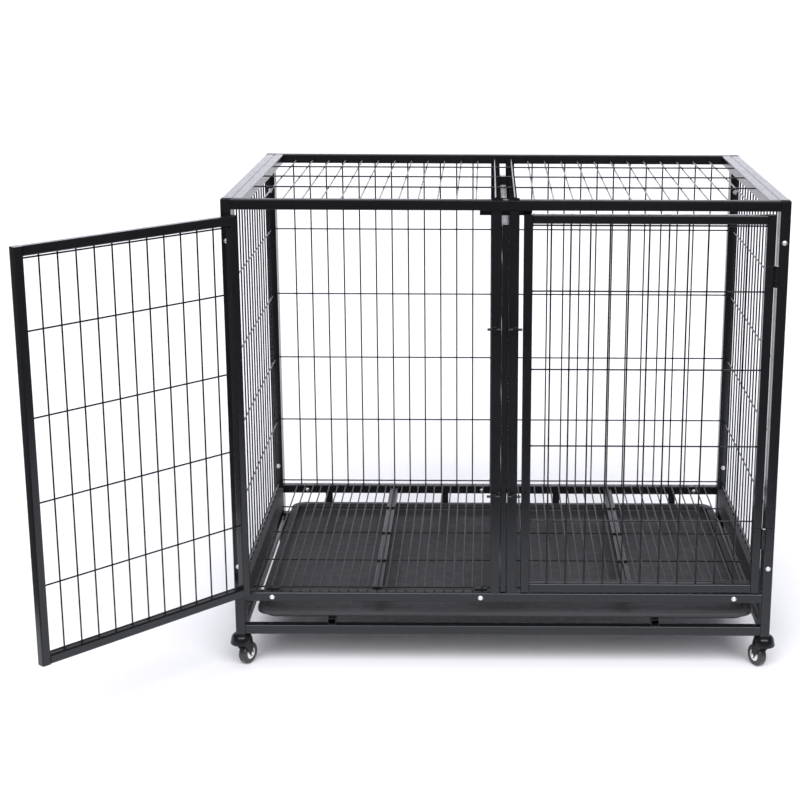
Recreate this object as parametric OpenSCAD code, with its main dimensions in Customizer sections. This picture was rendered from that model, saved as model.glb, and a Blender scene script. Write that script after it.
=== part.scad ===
// Two-bay dog crate of welded square tube and wire mesh, on four swivel casters.
// X runs to the right, Y to the rear, Z up; the origin is the middle of the footprint on the floor.

/* [Overall] */
// Width of the crate over its posts
crate_w = 1100; // [950:5:1250]
// Depth of the crate over its posts
crate_d = 725; // [600:5:850]
// Height from the floor to the tops of the posts
crate_h = 975; // [875:5:1100]
// Height from the floor to the undersides of the posts
caster_h = 75; // [70:1:95]

/* [Frame] */
// Side of the square frame tube
tube = 20; // [18:0.5:25]
// Wall of the frame tube
tube_wall = 1.2; // [1:0.1:2]
// Height of the sills above the undersides of the posts
sill_rise = 72; // [60:1:90]
// Height of the side sills, which stand beside the tray
side_sill_h = 50; // [20:1:60]
// Slot between the two centre posts, which takes the divider
centre_slot = 14; // [13:0.5:20]
// Side of the two bars along the middle of the roof
roof_bar = 16; // [12:0.5:20]
// Gap between the roof bars
roof_bar_gap = 16; // [12:0.5:24]
// Thickness of the cap on a post
cap_t = 2; // [1:0.5:4]
// Depth of a plug inside a tube
plug_depth = 25; // [15:1:40]

/* [Wire mesh] */
// Thickness of the mesh wire
wire_d = 3.2; // [2.6:0.1:3.8]
// Spacing of the upright wires
mesh_pitch = 38.1; // [30:0.1:50]
// Spacing of the cross wires
mesh_row = 155.5; // [120:0.5:180]
// Spacing of the cross wires of the doors
door_row = 158; // [120:0.5:180]
// Height of the lowest cross wire of a side above its sill
mesh_start = 15; // [8:1:30]
// Height of the lowest cross wire of the rear above its sill
rear_mesh_start = 10; // [8:1:30]
// Spacing of the cross wires of the roof
roof_row = 158; // [120:1:180]
// How far the cross wires of the roof lie behind its middle
roof_row_shift = 25; // [0:1:40]
// Spacing of the floor wires
floor_pitch = 19.7; // [15:0.1:25]
// Spacing of the cross wires of the floor
floor_row = 175; // [120:1:200]
// Distance of a border wire from its door rail
border_gap = 4; // [3:0.5:8]

/* [Doors] */
// Side of the square door tube
door_tube = 18; // [14:0.5:19]
// Wall of the door tube
door_wall = 1.2; // [1:0.1:2]
// Gap between a door and its hinge post
hinge_gap = 6.5; // [5:0.5:9]
// Gap between a door and its centre post
latch_gap = 8.5; // [5:0.5:12]
// Gap above a door
top_gap = 7.5; // [4:0.5:12]
// Gap below a door
bottom_gap = 3; // [2:0.5:8]
// Angle at which the left door stands open
left_door_open = 133; // [0:1:180]
// Distance of a hinge's middle from the door's end
hinge_inset = 119; // [60:1:200]
// Height of a hinge
hinge_h = 42; // [30:1:60]
// Width of a hinge leaf on its tube
leaf_w = 15; // [10:0.5:16]
// Thickness of a hinge leaf
leaf_t = 2; // [1.5:0.1:2.5]
// Diameter of a hinge pin
hinge_pin_d = 5; // [4:0.1:6]
// Wall of a hinge knuckle
knuckle_wall = 2; // [1.5:0.1:2.5]

/* [Slide bolts] */
// Diameter of a bolt's rod
bolt_d = 5.2; // [4:0.1:6]
// Travel of a bolt from its rest through its keeper
bolt_travel = 12; // [8:0.5:14]
// Distance of the upper bolts below the door's top edge
upper_bolt_drop = 226; // [150:1:300]
// Height of the lower bolts above the door's bottom edge
lower_bolt_rise = 207; // [100:1:300]
// Height of a bolt guide
guide_h = 10; // [9:0.5:14]
// Depth of a bolt guide in front of its post
guide_t = 8; // [7:0.5:10]
// Width of a bolt guide along the rod
guide_w = 10; // [6:0.5:11]
// Thickness of a keeper along the rod
keeper_t = 4; // [3:0.5:5]
// Diameter of a bolt's knob
knob_d = 6; // [5:0.5:7]
// Height of a bolt's knob
knob_h = 6; // [4:0.5:10]

/* [Tray and divider] */
// Gap beside the tray, on each side
tray_side_gap = 19; // [8:1:40]
// How far the tray lies to the right of the middle
tray_shift = 4; // [-8:0.5:8]
// Gap behind the tray
tray_rear_gap = 5; // [2:0.5:40]
// Height of the tray
tray_h = 17; // [12:0.5:25]
// Wall of the tray
tray_wall = 2.5; // [2:0.1:3]
// Width of the tray's flat rim
tray_rim = 12; // [8:0.5:30]
// Height of the lip that hangs from the rim
tray_lip = 9; // [6:0.5:9]
// Corner radius of the tray
tray_r = 32; // [20:1:50]
// Width of a tray runner
runner_w = 17; // [12:0.5:25]
// Height of a tray runner
runner_h = 14; // [10:0.5:25]
// Side of the square divider tube
divider_tube = 12; // [10:0.5:12.4]
// Wall of the divider tube
divider_wall = 1; // [0.8:0.1:1.5]
// Gap between the divider and the top rails
divider_top_gap = 27; // [20:1:60]

/* [Casters] */
// Diameter of a wheel
wheel_d = 46; // [40:0.5:50]
// Width of a wheel
wheel_w = 17.5; // [12:0.5:20]
// Diameter of a wheel's hub
hub_d = 25; // [18:0.5:32]
// Distance of an axle behind its swivel
trail = 20; // [16:0.5:24]
// Diameter of an axle
axle_d = 6; // [4:0.1:8]
// Diameter of a swivel pin
swivel_d = 8; // [6:0.1:9]
// Diameter of a fork's domed head
head_d = 47; // [42:0.5:54]
// Height of a fork's domed head
head_h = 25.2; // [20:0.1:30]
// Thickness of a fork's cheeks
cheek_t = 3; // [2:0.5:4]

/* [Hidden] */
$fn = 48;

// Overrun of a cut past the face that it cuts
over = 1;
// Running clearance of a pin in its bore, on the radius
run_clear = 0.05;
// Clearance between flat faces that slide or turn past each other
slide_clear = 0.3;
// Root gap of the weld where one tube meets another in a panel
weld_gap = 0.1;
// Clearance of a fastener in its hole, on the radius
hole_clear = 0.3;

// Colours
black = "#232326";
charcoal = "#3a3b3e";
zinc = "#c9cbce";

// Frame levels and faces, measured from the middle of the footprint
side_x = crate_w / 2;
front_y = -crate_d / 2;
rear_y = crate_d / 2;
post_x = side_x - tube / 2;
post_y = rear_y - tube / 2;
inner_x = side_x - tube;
inner_y = rear_y - tube;
post_bottom = caster_h;
rail_z = crate_h - tube / 2;
rail_bottom = crate_h - tube;
sill_bottom = post_bottom + sill_rise;
sill_z = sill_bottom + tube / 2;
sill_top = sill_bottom + tube;
bottom_rail_z = post_bottom + tube / 2;
bottom_rail_top = post_bottom + tube;
rail_w = crate_w - 2 * tube;
centre_x = centre_slot / 2 + tube / 2;
centre_edge = centre_slot / 2 + tube;
bay_h = rail_bottom - sill_top;
side_rows = rows_from(mesh_start, bay_h, mesh_row);
rear_rows = rows_from(rear_mesh_start, bay_h, mesh_row);
plug_w = tube - 2 * tube_wall - slide_clear;

// Wire mesh: two layers of wire, welded where they cross
wire_sides = 8;
wire_step_share = 0.8;
wire_flat = wire_d / 2 * cos(180 / wire_sides);
wire_step = wire_d * wire_step_share;

// Side panels stand between the posts, with a stile against each post
stile_y = inner_y - tube / 2;
side_rail_d = crate_d - 4 * tube;

// Roof: cross wires lie on the front to back wires and on the two bars
roof_rail_x = inner_x - tube / 2;
roof_inner_x = inner_x - tube;
roof_bar_x = roof_bar_gap / 2 + roof_bar / 2;
roof_cross_z = rail_z + wire_step;
roof_bar_z = roof_cross_z - wire_flat - roof_bar / 2;

// Centre plate behind the front rail, which stops the doors and seats the roof bars
plate_t = 3;
plate_side = 23;
plate_w = 2 * (centre_edge + plate_side);
plate_drop = 12;
plate_gap = 1;
plate_top = rail_z - wire_flat - plate_gap;
clip_len = 22;
clip_t = 2;
clip_screw_d = 8;
clip_screw_h = 2.5;
spacer_len = 60;
spacer_h = 8;
spacer_place_shares = [-0.38, 0.04];

// Floor: two wire grates, each on a beam between the sills
floor_gap = 6;
grate_outer_gap = 14;
grate_w = inner_x - grate_outer_gap - floor_gap / 2;
grate_x = floor_gap / 2 + grate_w / 2;
grate_gap = 1;
grate_d = 2 * inner_y - 2 * grate_gap;
floor_cross_z = sill_top + wire_flat;
floor_wire_z = floor_cross_z + wire_step;
floor_border_inset = 9.5;
floor_rows = [-inner_y + floor_border_inset, -floor_row, 0, floor_row, inner_y - floor_border_inset];
tab_w = floor_pitch + 2 * wire_d;
tab_t = 2;
tab_reach = floor_border_inset - wire_d / 2 - slide_clear;
tab_drop = 17;
tab_top = floor_wire_z - wire_flat;
tab_inset = 43;
tab_spread = grate_w / 2 - tab_inset;
tab_places = [
    [-grate_x - tab_spread, -1], [-grate_x + tab_spread, -1], [grate_x + tab_spread, -1],
    [-grate_x - tab_spread, 1], [-grate_x + tab_spread, 1], [grate_x + tab_spread, 1]
];

// Fasteners
screw_d = 6;
screw_head_d = 10;
screw_head_h = 3.5;
screw_end = 5;
floor_bolt_z = sill_z;
post_bolt_low = 148;
post_bolt_drop = 81;
post_bolt_zs = [post_bottom + post_bolt_low, crate_h - post_bolt_drop];
nut_t = 4;
nut_d = 11;

// Doors, drawn closed and then turned on their pins
knuckle_r = hinge_pin_d / 2 + knuckle_wall;
hinge_x = inner_x - hinge_gap / 2;
hinge_y = front_y - knuckle_r;
door_w = inner_x - centre_edge - hinge_gap - latch_gap;
door_hinge_edge = inner_x - hinge_gap;
door_latch_edge = centre_edge + latch_gap;
door_bottom = sill_top + bottom_gap;
door_top = rail_bottom - top_gap;
door_h = door_top - door_bottom;
door_y = front_y + door_tube / 2;
door_mid_x = (door_hinge_edge + door_latch_edge) / 2;
door_inner_w = door_w - 2 * door_tube;
door_inner_h = door_h - 2 * door_tube;
hinge_zs = [door_bottom + hinge_inset, door_top - hinge_inset];
knuckle_h = hinge_h / 3;
pin_head_h = 1.5;
pin_head_r = hinge_pin_d / 2 + knuckle_wall / 2;

// Slide bolts on the centre posts: the knob's neck runs along a slot in the guide
bolt_zs = [door_top - upper_bolt_drop, door_bottom + lower_bolt_rise];
bolt_y = front_y - guide_t / 2;
guide_side = 1;
guide_x = centre_edge - guide_side - guide_w / 2;
neck_d = 3.5;
bolt_end_gap = 0.5;
bolt_tail = 2.5;
bolt_end_x = centre_slot / 2 + bolt_end_gap;
neck_x = bolt_end_x + bolt_tail;
bolt_edge_gap = 1.2;
bolt_tip_x = door_latch_edge - bolt_edge_gap;

// Keepers on the doors: two lugs, and a bridge in front of the rod
keeper_inset = 6.5;
keeper_x = door_latch_edge + keeper_inset + keeper_t / 2;
keeper_clear = 0.6;
keeper_lug = 2.5;
keeper_bridge = 1.8;
keeper_gap_h = bolt_d + 2 * keeper_clear;
keeper_gap_t = guide_t / 2 + bolt_d / 2 + keeper_clear;

// Tray on two runners, which lie on the bottom rails
runner_setback = 3;
runner_place_shares = [-0.32, 0.285];
runner_z = bottom_rail_top + runner_h / 2;
tray_bottom = bottom_rail_top + runner_h + slide_clear;
tray_w = rail_w - 2 * tray_side_gap;
tray_d = crate_d - tube - tray_rear_gap;
tray_y = front_y + tray_d / 2;
stop_w = 17;
stop_t = 12;
stop_place_shares = [-0.382, -0.124, 0.124, 0.382];

// Divider, which slides out between the centre posts
divider_bottom = floor_cross_z + wire_flat + slide_clear;
divider_top = rail_bottom - divider_top_gap;
divider_h = divider_top - divider_bottom;
divider_front_gap = 1;
divider_rear_gap = 10;
divider_d = crate_d - divider_front_gap - divider_rear_gap;
divider_y = front_y + divider_front_gap + divider_d / 2;

// Casters: places, and the way that each trails
flange_t = 2;
head_gap = slide_clear;
wheel_gap = 1.2;
head_top = caster_h - flange_t - head_gap;
head_bottom = head_top - head_h;
cheek_gap = 1;
cheek_x = wheel_w / 2 + cheek_gap;
cheek_foot_d = axle_d + 2 * cheek_t;
axle_head_t = 1.5;
axle_head_side = 2;
axle_head_d = axle_d + 2 * axle_head_side;
axle_len = 2 * cheek_x + 2 * cheek_t;
swivel_floor = 3;
head_round = 14;
head_foot_round = 9;
cheek_top_shares = [-0.3, 0.75];
tread_round = 4;
hub_recess = 2.5;
hub_bush_wall = 2.5;
hub_bush_d = axle_d + 2 * hub_bush_wall;
caster_turns = [62, 118, 62, 118];
caster_places = [[-post_x, -post_y], [post_x, -post_y], [-post_x, post_y], [post_x, post_y]];

// Shared shapes

// Square tube along Z, standing on zero
module tube_z(length, side = tube, wall = tube_wall) {
    linear_extrude(length)
        difference() {
            square(side, center = true);
            square(side - 2 * wall, center = true);
        }
}

// Square tube along X, centred
module tube_x(length, side = tube, wall = tube_wall) {
    translate([-length / 2, 0, 0]) rotate([0, 90, 0]) tube_z(length, side, wall);
}

// Square tube along Y, centred
module tube_y(length, side = tube, wall = tube_wall) {
    translate([0, -length / 2, 0]) rotate([-90, 0, 0]) tube_z(length, side, wall);
}

// Tube of any section along Y, centred
module flat_tube_y(length, w, h, wall = tube_wall) {
    rotate([90, 0, 0])
        linear_extrude(length, center = true)
            difference() {
                square([w, h], center = true);
                square([w - 2 * wall, h - 2 * wall], center = true);
            }
}

// Wire along Z, centred, with flats towards X and Y
module wire_z(length) {
    rotate([0, 0, 180 / wire_sides]) cylinder(d = wire_d, h = length, center = true, $fn = wire_sides);
}

module wire_x(length) {
    rotate([0, 90, 0]) wire_z(length);
}

// Evenly spaced places, centred in a span
function spread(span, pitch) =
    let (n = max(1, round(span / pitch) - 1)) [for (i = [0:n - 1]) (i - (n - 1) / 2) * pitch];

// Cross wire heights from a start, up to a span
function rows_from(start, span, pitch) =
    [for (i = [0:floor((span - start - wire_d) / pitch)]) start + i * pitch];

// Upright panel of mesh in the XZ plane, centred on X and standing on zero
module mesh_panel(w, h, columns, rows) {
    for (x = columns)
        translate([x, -wire_step / 2, h / 2]) wire_z(h);
    for (z = rows)
        translate([0, wire_step / 2, z]) wire_x(w);
}

// Places on both sides of the middle
module both_sides() {
    children();
    mirror([1, 0, 0]) children();
}

module front_and_rear() {
    children();
    mirror([0, 1, 0]) children();
}

// Hole along Y through everything near a place
module hole_y(r, length) {
    rotate([90, 0, 0]) cylinder(r = r, h = length, center = true);
}

// Dome-headed bolt along Y with its head towards -Y and its shank from zero
module dome_bolt(length) {
    head_r = screw_head_d / 2;
    rotate([-90, 0, 0]) {
        cylinder(d = screw_d, h = length);
        translate([0, 0, -screw_head_h])
            rotate_extrude()
                intersection() {
                    translate([0, head_r]) circle(r = head_r);
                    square([head_r, screw_head_h]);
                }
    }
}

// Frame

module post_pair(y) {
    color(black)
        both_sides()
            difference() {
                translate([post_x, y, post_bottom]) tube_z(crate_h - cap_t - post_bottom);
                for (z = post_bolt_zs)
                    translate([post_x, y, z]) hole_y(screw_d / 2 + hole_clear, tube + 2 * over);
            }
}

module front_posts() {
    post_pair(-post_y);
}

module rear_posts() {
    post_pair(post_y);
}

module post_caps() {
    color(black)
        for (place = caster_places)
            translate([place[0], place[1], crate_h - cap_t]) {
                linear_extrude(cap_t) square(tube, center = true);
                translate([0, 0, -plug_depth]) linear_extrude(plug_depth) square(plug_w, center = true);
            }
}

module front_top_rail() {
    color(black) translate([0, -post_y, rail_z]) tube_x(rail_w);
}

module rear_top_rail() {
    color(black) translate([0, post_y, rail_z]) tube_x(rail_w);
}

module sill(side) {
    color(charcoal)
        difference() {
            translate([0, side * post_y, sill_z]) tube_x(rail_w);
            for (place = tab_places)
                if (place[1] == side)
                    translate([place[0], side * post_y, floor_bolt_z])
                        hole_y(screw_d / 2 + hole_clear, tube + 2 * over);
        }
}

module front_sill() {
    sill(-1);
}

module rear_sill() {
    sill(1);
}

module front_bottom_rail() {
    color(charcoal) translate([0, -post_y, bottom_rail_z]) tube_x(rail_w);
}

module rear_bottom_rail() {
    color(charcoal) translate([0, post_y, bottom_rail_z]) tube_x(rail_w);
}

module centre_post_pair(y) {
    color(black) both_sides() translate([centre_x, y, sill_top]) tube_z(bay_h);
}

module front_centre_posts() {
    centre_post_pair(-post_y);
}

module rear_centre_posts() {
    centre_post_pair(post_y);
}

// Right side panel's frame: two stiles and three rails
module side_frame() {
    color(black)
        front_and_rear()
            difference() {
                translate([post_x, -stile_y, post_bottom]) tube_z(crate_h - post_bottom);
                for (z = post_bolt_zs)
                    translate([post_x, -stile_y, z])
                        hole_y(screw_d / 2 + hole_clear, tube + 2 * over);
            }
    rail_len = side_rail_d - 2 * weld_gap;
    color(black) {
        for (z = [rail_z, bottom_rail_z])
            translate([post_x, 0, z]) tube_y(rail_len);
        translate([post_x, 0, sill_top - side_sill_h / 2]) flat_tube_y(rail_len, tube, side_sill_h);
    }
}

module left_side_frame() {
    mirror([1, 0, 0]) side_frame();
}

module right_side_frame() {
    side_frame();
}

module side_mesh() {
    color(black)
        translate([post_x, 0, sill_top])
            rotate([0, 0, 90])
                mesh_panel(side_rail_d, bay_h, spread(side_rail_d, mesh_pitch), side_rows);
}

module left_side_mesh() {
    mirror([1, 0, 0]) side_mesh();
}

module right_side_mesh() {
    side_mesh();
}

// Rear mesh in two halves, one each side of the rear centre posts
module rear_mesh() {
    half_w = inner_x - centre_edge;
    color(black)
        both_sides()
            translate([centre_edge + half_w / 2, post_y, sill_top])
                mesh_panel(half_w, bay_h, spread(half_w, mesh_pitch), rear_rows);
}

// Roof

module roof_frame() {
    bar_front = -inner_y + plate_t;
    bar_len = inner_y - bar_front;
    color(black)
        both_sides() {
            translate([roof_rail_x, 0, rail_z]) tube_y(2 * inner_y);
            translate([roof_bar_x, bar_front + bar_len / 2, roof_bar_z]) tube_y(bar_len, roof_bar);
        }
}

module roof_mesh() {
    half_w = roof_inner_x - roof_bar_gap / 2 - roof_bar;
    half_x = roof_inner_x - half_w / 2;
    color(black) {
        for (x = spread(half_w, mesh_pitch))
            both_sides() translate([half_x + x, 0, rail_z]) rotate([90, 0, 0]) wire_z(2 * inner_y);
        for (i = [-1:1])
            translate([0, i * roof_row + roof_row_shift, roof_cross_z]) wire_x(2 * roof_inner_x);
    }
}

// Clips over the front rail, and spacers between the roof bars
module roof_bar_clips() {
    color(black)
        both_sides()
            translate([roof_bar_x, -post_y, crate_h]) {
                linear_extrude(clip_t) square([clip_len, tube], center = true);
                translate([0, 0, clip_t]) cylinder(d = clip_screw_d, h = clip_screw_h);
            }
    color(zinc)
        for (share = spacer_place_shares)
            translate([0, share * crate_d, roof_bar_z - spacer_h / 2])
                linear_extrude(spacer_h) square([roof_bar_gap, spacer_len], center = true);
}

module centre_plate() {
    plate_bottom = rail_bottom - plate_drop;
    color(black)
        translate([-plate_w / 2, -inner_y, plate_bottom])
            cube([plate_w, plate_t, plate_top - plate_bottom]);
}

// Floor

module floor_beams() {
    color(charcoal) both_sides() translate([grate_x, 0, sill_z]) tube_y(2 * inner_y);
}

module floor_mesh() {
    color(charcoal)
        translate([grate_x, 0, 0]) {
            for (x = spread(grate_w, floor_pitch))
                translate([x, 0, floor_wire_z]) rotate([90, 0, 0]) wire_z(grate_d);
            for (y = floor_rows)
                translate([0, y, floor_cross_z]) wire_x(grate_w);
        }
}

module left_floor_mesh() {
    mirror([1, 0, 0]) floor_mesh();
}

module right_floor_mesh() {
    floor_mesh();
}

// Angle tabs under the grates, bolted to the sills
module floor_tabs() {
    color(charcoal)
        for (place = tab_places)
            translate([place[0], 0, 0])
                mirror([0, max(0, place[1]), 0])
                    difference() {
                        translate([-tab_w / 2, -inner_y, tab_top - tab_t]) {
                            cube([tab_w, tab_reach, tab_t]);
                            translate([0, 0, -tab_drop]) cube([tab_w, tab_t, tab_drop + tab_t]);
                        }
                        translate([0, -inner_y, floor_bolt_z])
                            hole_y(screw_d / 2 + hole_clear, 2 * tab_t + 2 * over);
                    }
}

// Bolts through the sills and tabs; the heads face the front
module floor_bolts() {
    grip = tube + tab_t + screw_end;
    color(zinc)
        for (place = tab_places)
            translate([place[0], place[1] < 0 ? front_y : inner_y - tab_t, floor_bolt_z]) dome_bolt(grip);
}

// Bolts through the posts into the side panels' stiles
module post_bolts() {
    color(zinc)
        both_sides()
            front_and_rear()
                for (z = post_bolt_zs)
                    translate([post_x, front_y, z]) dome_bolt(2 * tube + screw_end);
}

// Hexagon nut along Y, from zero
module nut() {
    rotate([-90, 0, 0])
        difference() {
            cylinder(d = nut_d, h = nut_t, $fn = 6);
            translate([0, 0, -over]) cylinder(d = screw_d + 2 * run_clear, h = nut_t + 2 * over);
        }
}

module bolt_nuts() {
    color(zinc) {
        for (place = tab_places)
            translate([place[0], place[1] < 0 ? -inner_y + tab_t : rear_y, floor_bolt_z]) nut();
        both_sides()
            front_and_rear()
                for (z = post_bolt_zs)
                    translate([post_x, front_y + 2 * tube, z]) nut();
    }
}

// Tray supports

module tray_runners() {
    color(black)
        for (share = runner_place_shares)
            translate([share * crate_w, 0, runner_z])
                flat_tube_y(crate_d - 2 * runner_setback, runner_w, runner_h);
}

// Struts between the rear rail and the rear sill, which stop the tray
module tray_stops() {
    color(black)
        for (share = stop_place_shares)
            translate([share * crate_w - stop_w / 2, inner_y, bottom_rail_top])
                cube([stop_w, stop_t, sill_bottom - bottom_rail_top]);
}

// Tray

module rounded_rect(w, d, r) {
    square([w - 2 * r, d], center = true);
    square([w, d - 2 * r], center = true);
    for (x = [-1, 1], y = [-1, 1])
        translate([x * (w / 2 - r), y * (d / 2 - r)]) circle(r = r);
}

// The same, drawn in by a wall
module offset_rect(w, d, r, wall) {
    rounded_rect(w - 2 * wall, d - 2 * wall, r - wall);
}

module tray() {
    pan_w = tray_w - 2 * tray_rim;
    pan_d = tray_d - 2 * tray_rim;
    color(charcoal)
        translate([tray_shift, tray_y, tray_bottom])
            difference() {
                union() {
                    linear_extrude(tray_h) rounded_rect(pan_w, pan_d, tray_r);
                    translate([0, 0, tray_h - tray_wall])
                        linear_extrude(tray_wall) rounded_rect(tray_w, tray_d, tray_r);
                    translate([0, 0, tray_h - tray_lip])
                        linear_extrude(tray_lip)
                            difference() {
                                rounded_rect(tray_w, tray_d, tray_r);
                                offset_rect(tray_w, tray_d, tray_r, tray_wall);
                            }
                }
                translate([0, 0, tray_wall])
                    linear_extrude(tray_h)
                        offset_rect(pan_w, pan_d, tray_r, tray_wall);
            }
}

// Divider

module divider_frame() {
    color(black) {
        for (y = [-1, 1])
            translate([0, divider_y + y * (divider_d - divider_tube) / 2, divider_bottom])
                tube_z(divider_h, divider_tube, divider_wall);
        for (z = [divider_bottom + divider_tube / 2, divider_top - divider_tube / 2])
            translate([0, divider_y, z])
                tube_y(divider_d - 2 * divider_tube - 2 * weld_gap, divider_tube, divider_wall);
    }
}

module divider_mesh() {
    mesh_w = divider_d - 2 * divider_tube;
    mesh_h = divider_h - 2 * divider_tube;
    rows = [for (z = spread(mesh_h, mesh_row)) z + mesh_h / 2];
    color(black)
        translate([0, divider_y, divider_bottom + divider_tube])
            rotate([0, 0, 90]) mesh_panel(mesh_w, mesh_h, spread(mesh_w, mesh_pitch), rows);
}

// Doors: each module draws the right door closed, and place_door puts it in its frame

// Turns a closed right-hand door piece on its pin, or mirrors it to the left opening first
module place_door(left) {
    turn = left ? left_door_open : 0;
    mirror([left ? 1 : 0, 0, 0])
        translate([hinge_x, hinge_y, 0])
            rotate([0, 0, turn])
                translate([-hinge_x, -hinge_y, 0]) children();
}

module door_frame() {
    color(black) {
        for (x = [door_latch_edge + door_tube / 2, door_hinge_edge - door_tube / 2])
            translate([x, door_y, door_bottom]) tube_z(door_h, door_tube, door_wall);
        for (z = [door_bottom + door_tube / 2, door_top - door_tube / 2])
            translate([door_mid_x, door_y, z]) tube_x(door_inner_w - 2 * weld_gap, door_tube, door_wall);
    }
}

module door_mesh() {
    middle_rows = [for (z = spread(door_inner_h, door_row)) z + door_inner_h / 2];
    rows = concat([border_gap], middle_rows, [door_inner_h - border_gap]);
    color(black)
        translate([door_mid_x, door_y, door_bottom + door_tube])
            mesh_panel(door_inner_w, door_inner_h, spread(door_inner_w, mesh_pitch), rows);
}

// Hinge leaf on a tube's front face, reaching from the pin to the +X side
module hinge_leaf(edge_gap, knuckles) {
    difference() {
        union() {
            translate([edge_gap, knuckle_r - leaf_t, -hinge_h / 2]) cube([leaf_w, leaf_t, hinge_h]);
            for (k = knuckles)
                translate([0, 0, k * knuckle_h]) {
                    cylinder(r = knuckle_r, h = knuckle_h - slide_clear, center = true);
                    translate([0, knuckle_r - leaf_t, -(knuckle_h - slide_clear) / 2])
                        cube([edge_gap + over, leaf_t, knuckle_h - slide_clear]);
                }
        }
        cylinder(d = hinge_pin_d + 2 * run_clear, h = hinge_h + 2 * over, center = true);
    }
}

module post_hinge_leaves() {
    edge_gap = knuckle_r + slide_clear;
    color(black)
        both_sides()
            for (z = hinge_zs)
                translate([hinge_x, hinge_y, z]) hinge_leaf(edge_gap, [-1, 1]);
}

module door_hinge_leaves() {
    edge_gap = knuckle_r + slide_clear;
    color(black)
        for (z = hinge_zs)
            translate([hinge_x, hinge_y, z]) mirror([1, 0, 0]) hinge_leaf(edge_gap, [0]);
}

module hinge_pins() {
    color(zinc)
        both_sides()
            for (z = hinge_zs)
                translate([hinge_x, hinge_y, z]) {
                    cylinder(d = hinge_pin_d, h = hinge_h, center = true);
                    translate([0, 0, hinge_h / 2]) cylinder(r = pin_head_r, h = pin_head_h);
                }
}

// Guides for the slide bolts, with a bore for the rod and a slot for the knob's neck
module bolt_guides() {
    slot_w = neck_d + 2 * slide_clear;
    color(black)
        both_sides()
            for (z = bolt_zs)
                difference() {
                    translate([guide_x - guide_w / 2, front_y - guide_t, z - guide_h / 2])
                        cube([guide_w, guide_t, guide_h]);
                    translate([guide_x, bolt_y, z])
                        rotate([0, 90, 0])
                            cylinder(d = bolt_d + 2 * run_clear, h = guide_w + 2 * over, center = true);
                    translate([guide_x - guide_w / 2 - over, bolt_y - slot_w / 2, z])
                        cube([guide_w + 2 * over, slot_w, guide_h]);
                }
}

// Slide bolt of the right door: rod, and a knob on a neck that is welded to it
module slide_bolt(z) {
    knob_z = guide_h / 2 + slide_clear;
    neck_z = bolt_d / 2 + weld_gap;
    color(black)
        translate([0, bolt_y, z]) {
            translate([bolt_end_x, 0, 0])
                rotate([0, 90, 0]) cylinder(d = bolt_d, h = bolt_tip_x - bolt_end_x);
            translate([neck_x, 0, neck_z]) cylinder(d = neck_d, h = knob_z + over - neck_z);
            translate([neck_x, 0, knob_z]) cylinder(d = knob_d, h = knob_h);
        }
}

// Keepers on a door, which take the bolts' tips
module door_keepers() {
    keeper_h = keeper_gap_h + 2 * keeper_lug;
    color(black)
        for (z = bolt_zs)
            translate([keeper_x, front_y, z]) {
                for (side = [-1, 1])
                    translate([0, -(keeper_gap_t - weld_gap) / 2, side * (keeper_gap_h + keeper_lug) / 2])
                        cube([keeper_t, keeper_gap_t - weld_gap, keeper_lug], center = true);
                translate([0, -keeper_gap_t - keeper_bridge / 2, 0])
                    cube([keeper_t, keeper_bridge, keeper_h], center = true);
            }
}

module left_door_frame() {
    place_door(true) door_frame();
}

module left_door_mesh() {
    place_door(true) door_mesh();
}

module left_door_hinge_leaves() {
    place_door(true) door_hinge_leaves();
}

module left_door_keepers() {
    place_door(true) door_keepers();
}

module right_door_frame() {
    place_door(false) door_frame();
}

module right_door_mesh() {
    place_door(false) door_mesh();
}

module right_door_hinge_leaves() {
    place_door(false) door_hinge_leaves();
}

module right_door_keepers() {
    place_door(false) door_keepers();
}

module left_upper_bolt() {
    mirror([1, 0, 0]) slide_bolt(bolt_zs[0]);
}

module left_lower_bolt() {
    mirror([1, 0, 0]) slide_bolt(bolt_zs[1]);
}

module right_upper_bolt() {
    slide_bolt(bolt_zs[0]);
}

module right_lower_bolt() {
    slide_bolt(bolt_zs[1]);
}

// Casters: X is the way that the wheel trails, and Y is the axle

// Plug in the post, flange under it and pin for the swivel
module caster_stems() {
    pin_bottom = head_bottom + swivel_floor + slide_clear;
    color(black)
        for (place = caster_places)
            translate([place[0], place[1], 0]) {
                translate([0, 0, pin_bottom]) cylinder(d = swivel_d, h = caster_h - pin_bottom);
                translate([0, 0, caster_h - flange_t]) linear_extrude(flange_t) square(tube, center = true);
                translate([0, 0, caster_h]) linear_extrude(plug_depth) square(plug_w, center = true);
            }
}

module place_caster(i) {
    translate([caster_places[i][0], caster_places[i][1], 0]) rotate([0, 0, caster_turns[i]]) children();
}

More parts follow.
